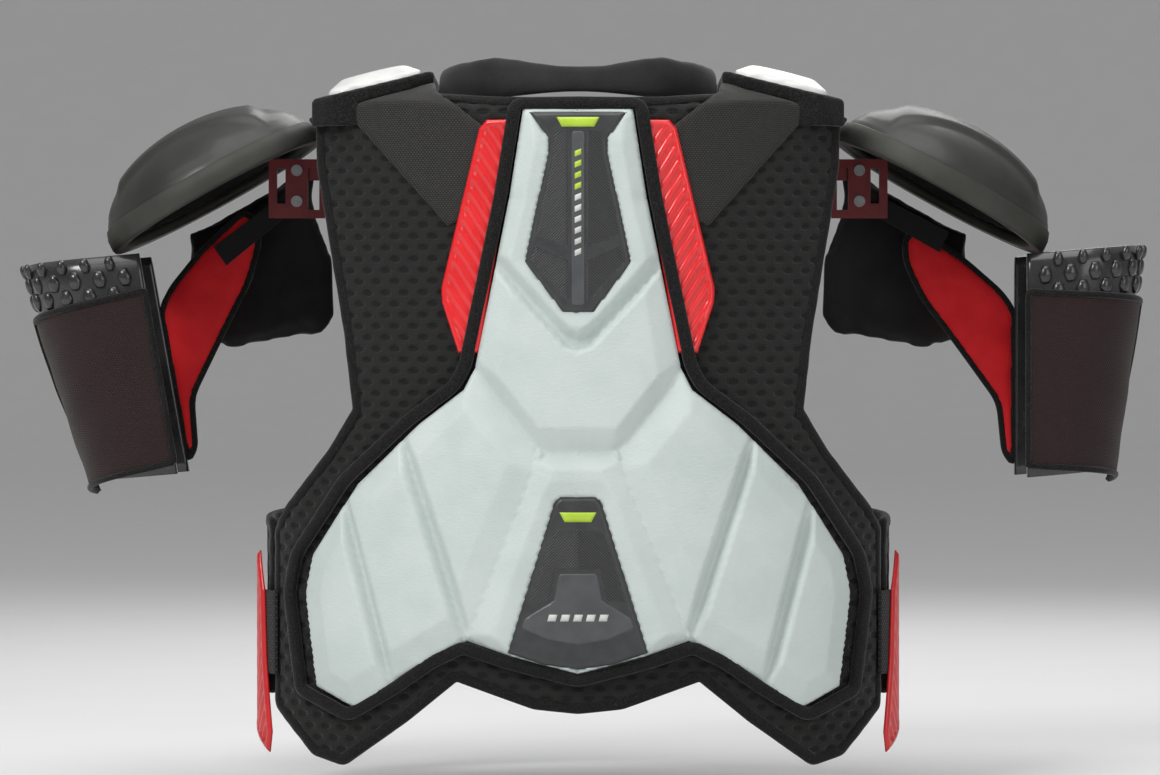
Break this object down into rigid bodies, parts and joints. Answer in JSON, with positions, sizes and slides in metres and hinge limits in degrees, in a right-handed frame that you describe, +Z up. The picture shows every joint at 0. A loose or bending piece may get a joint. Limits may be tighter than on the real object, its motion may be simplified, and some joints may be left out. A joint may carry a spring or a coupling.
{
  "type": "hockey shoulder pads",
  "caption": "Hockey shoulder pads: padded vest with a pale segmented back panel, collar, floating shoulder caps and bicep guards on webbing.",
  "frame": {"origin": "midway between the tops of the wearer's shoulders, level with the undersides of the two shoulder yokes", "axes": "+X to the wearer's right, +Y to the wearer's front (the back panel faces -Y), +Z up"},
  "size_m": [0.7865, 0.2926, 0.483],
  "materials": {
    "liner_mesh": "open spacer mesh",
    "binding": "woven tape",
    "foam_pale": "moulded foam with a woven skin",
    "spine_plate": "satin with ribbed fields",
    "accent_tab": "gloss",
    "rail_red": "ribbed, glossy rim",
    "collar_fabric": "smooth stretch knit",
    "patch_weave": "coarse woven",
    "arch_white": "coated foam, satin",
    "cap_shell": "satin moulded",
    "cap_rim": "matte",
    "lining_black": "brushed knit",
    "strap_webbing": "woven elastic",
    "hook_loop": "hook and loop",
    "wing_red": "ribbed",
    "bracket_red": "moulded, semi-gloss",
    "rivet_steel": "dark painted",
    "guard_shell": "moulded, bumpy",
    "lining_red": "brushed knit",
    "wrap_stretch": "stretch knit"
  },
  "bodies": {
    "vest": {"back_liner": "liner_mesh", "back_liner_binding": "binding", "back_foam_panel": "foam_pale", "back_foam_binding": "binding", "upper_spine_plate": "spine_plate", "lower_spine_plate": "spine_plate", "upper_spine_tab": "accent_tab", "lower_spine_tab": "accent_tab", "left_back_rail": "rail_red", "right_back_rail": "rail_red", "left_yoke_patch": "patch_weave", "right_yoke_patch": "patch_weave", "left_shoulder_yoke": "liner_mesh", "right_shoulder_yoke": "liner_mesh", "left_shoulder_arch": "arch_white", "right_shoulder_arch": "arch_white", "left_arch_binding": "binding", "right_arch_binding": "binding", "collar": "collar_fabric", "left_cap_tab": "strap_webbing", "right_cap_tab": "strap_webbing"},
    "chest": {"chest_liner": "liner_mesh", "chest_liner_binding": "binding", "left_chest_pad": "foam_pale", "right_chest_pad": "foam_pale", "left_chest_loop": "hook_loop", "right_chest_loop": "hook_loop", "sternum_plate": "spine_plate", "sternum_tab": "accent_tab", "belly_pad": "foam_pale"},
    "left_side_strap": {"left_side_strap": "strap_webbing", "left_strap_hook": "hook_loop", "left_side_wing": "wing_red"},
    "left_bracket": {"left_cap_bracket": "bracket_red", "left_bracket_rivets": "rivet_steel"},
    "left_cap": {"left_cap_shell": "cap_shell", "left_cap_liner": "lining_black", "left_cap_rim": "cap_rim", "left_cap_flap": "lining_black"},
    "left_bicep_guard": {"left_bicep_shell": "guard_shell", "left_bicep_pad": "lining_red", "left_bicep_binding": "binding", "left_guard_hanger": "strap_webbing"},
    "left_bicep_wrap": {"left_bicep_wrap": "wrap_stretch", "left_wrap_hook": "hook_loop"},
    "right_side_strap": {"right_side_strap": "strap_webbing", "right_strap_hook": "hook_loop", "right_side_wing": "wing_red"},
    "right_bracket": {"right_cap_bracket": "bracket_red", "right_bracket_rivets": "rivet_steel"},
    "right_cap": {"right_cap_shell": "cap_shell", "right_cap_liner": "lining_black", "right_cap_rim": "cap_rim", "right_cap_flap": "lining_black"},
    "right_bicep_guard": {"right_bicep_shell": "guard_shell", "right_bicep_pad": "lining_red", "right_bicep_binding": "binding", "right_guard_hanger": "strap_webbing"},
    "right_bicep_wrap": {"right_bicep_wrap": "wrap_stretch", "right_wrap_hook": "hook_loop"}
  },
  "joints": [
    {"name": "chest_swing", "type": "hinge", "parent": "vest", "child": "chest", "pos_m": [0, 0.07, 0.017], "axis": [1, 0, 0], "range_deg": [0, 30]},
    {"name": "left_strap_peel", "type": "hinge", "parent": "vest", "child": "left_side_strap", "pos_m": [-0.2103, -0.044, -0.361], "axis": [0, 0, 1], "range_deg": [0, 100]},
    {"name": "left_bracket_swing", "type": "hinge", "parent": "vest", "child": "left_bracket", "pos_m": [-0.2, 0.037, -0.037], "axis": [0, 1, 0], "range_deg": [-5, 12]},
    {"name": "left_cap_lift", "type": "hinge", "parent": "left_bracket", "child": "left_cap", "pos_m": [-0.2, 0.037, -0.037], "axis": [0, 1, 0], "range_deg": [0, 4]},
    {"name": "left_guard_swing", "type": "hinge", "parent": "left_bracket", "child": "left_bicep_guard", "pos_m": [-0.2, 0.037, -0.059], "axis": [0, 1, 0], "range_deg": [-10, 2]},
    {"name": "left_wrap_peel", "type": "hinge", "parent": "left_bicep_guard", "child": "left_bicep_wrap", "pos_m": [-0.3685, -0.008, -0.1817], "axis": [0.3117, 0, -0.9502], "range_deg": [0, 100]},
    {"name": "right_strap_peel", "type": "hinge", "parent": "vest", "child": "right_side_strap", "pos_m": [0.2103, -0.044, -0.361], "axis": [0, 0, -1], "range_deg": [0, 100]},
    {"name": "right_bracket_swing", "type": "hinge", "parent": "vest", "child": "right_bracket", "pos_m": [0.2, 0.037, -0.037], "axis": [0, -1, 0], "range_deg": [-5, 12]},
    {"name": "right_cap_lift", "type": "hinge", "parent": "right_bracket", "child": "right_cap", "pos_m": [0.2, 0.037, -0.037], "axis": [0, -1, 0], "range_deg": [0, 4]},
    {"name": "right_guard_swing", "type": "hinge", "parent": "right_bracket", "child": "right_bicep_guard", "pos_m": [0.2, 0.037, -0.059], "axis": [0, -1, 0], "range_deg": [-10, 2]},
    {"name": "right_wrap_peel", "type": "hinge", "parent": "right_bicep_guard", "child": "right_bicep_wrap", "pos_m": [0.3889, -0.008, -0.1694], "axis": [0.142, 0, 0.9899], "range_deg": [0, 100]}
  ]
}
